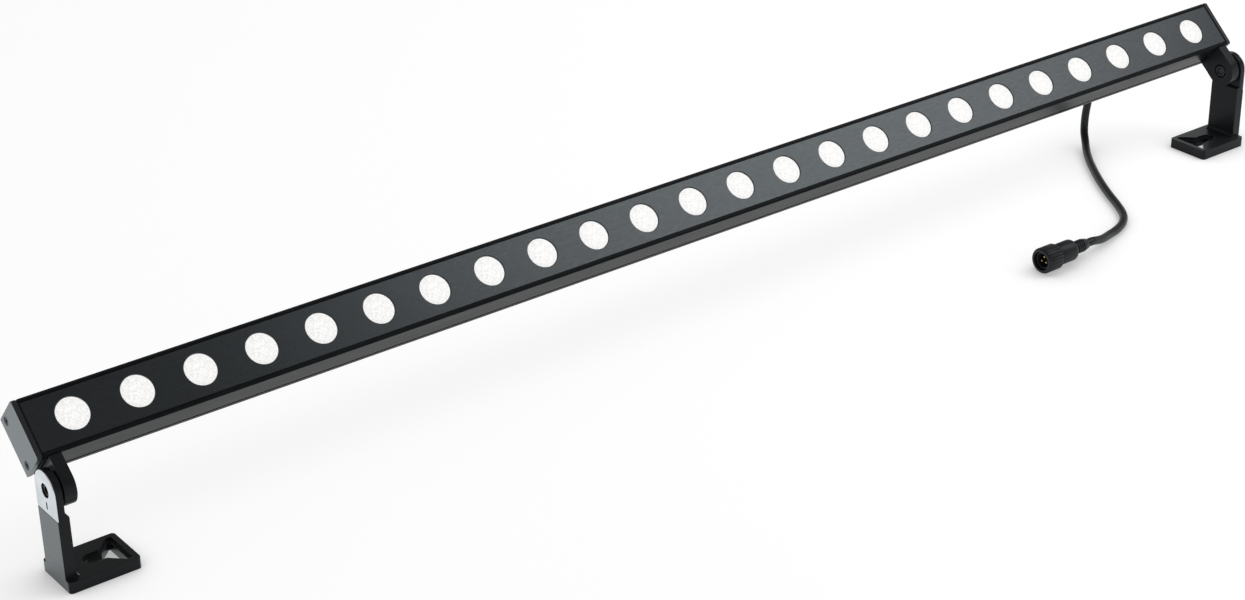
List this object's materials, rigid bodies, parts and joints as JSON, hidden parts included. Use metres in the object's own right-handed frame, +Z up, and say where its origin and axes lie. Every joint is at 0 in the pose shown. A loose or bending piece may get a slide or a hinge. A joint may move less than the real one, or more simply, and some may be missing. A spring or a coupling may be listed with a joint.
{
  "type": "linear floodlight",
  "caption": "Long slim lensed light bar that tilts between two footed L-brackets, with a short lead to an in-line connector.",
  "frame": {"origin": "on the surface under the feet, below the middle of the bar and halfway between the feet's front edges and the bar's rear corner", "axes": "+X along the bar towards the cable's end, -Y the side the light faces, +Z up from the surface"},
  "size_m": [1.0038, 0.1511, 0.1035],
  "materials": {
    "black_aluminium": "satin black anodised",
    "cover_plate": "satin, dark grey",
    "lens": "finely pebbled, lit white",
    "circuit_board": "white solder mask",
    "rubber": "matte",
    "end_cap": "satin black, finely textured",
    "steel_screw": "blackened",
    "black_casting": "black powder coat",
    "scale_plate": "brushed",
    "black_plastic": "moulded, matte",
    "cable_sheath": "satin black sheath",
    "connector_insert": "moulded"
  },
  "bodies": {
    "brackets": {"left_bracket": "black_casting", "right_bracket": "black_casting", "left_scale_plate": "scale_plate", "right_scale_plate": "scale_plate", "left_pivot_bolt": "steel_screw", "right_pivot_bolt": "steel_screw", "left_friction_washer": "rubber", "right_friction_washer": "rubber", "left_pivot_nut": "steel_screw", "right_pivot_nut": "steel_screw"},
    "lamp": {"housing": "black_aluminium", "front_cover": "cover_plate", "cover_seal": "rubber", "lens_01": "lens", "lens_02": "lens", "lens_03": "lens", "lens_04": "lens", "lens_05": "lens", "lens_06": "lens", "lens_07": "lens", "lens_08": "lens", "lens_09": "lens", "lens_10": "lens", "lens_11": "lens", "lens_12": "lens", "lens_13": "lens", "lens_14": "lens", "lens_15": "lens", "lens_16": "lens", "lens_17": "lens", "lens_18": "lens", "lens_19": "lens", "lens_20": "lens", "lens_21": "lens", "lens_22": "lens", "lens_23": "lens", "lens_24": "lens", "led_board_left": "circuit_board", "led_board_right": "circuit_board", "driver_board": "circuit_board", "end_cap_left": "end_cap", "end_cap_right": "end_cap", "end_gasket_left": "rubber", "end_gasket_right": "rubber", "cap_screw_left_lower": "steel_screw", "cap_screw_left_upper": "steel_screw", "cap_screw_right_lower": "steel_screw", "cap_screw_right_upper": "steel_screw", "left_lug": "black_casting", "right_lug": "black_casting", "left_lug_screw": "steel_screw", "right_lug_screw": "steel_screw", "gland_body": "black_plastic", "gland_lock_nut": "black_plastic", "gland_dome_nut": "black_plastic", "strain_relief": "rubber", "cable": "cable_sheath", "connector_body": "black_plastic", "connector_ring": "black_plastic", "connector_pins": "connector_insert"}
  },
  "joints": [
    {"name": "lamp_tilt", "type": "hinge", "parent": "brackets", "child": "lamp", "pos_m": [0, -0.0163, 0.0604], "axis": [1, 0, 0], "range_deg": [-40, 130]}
  ]
}
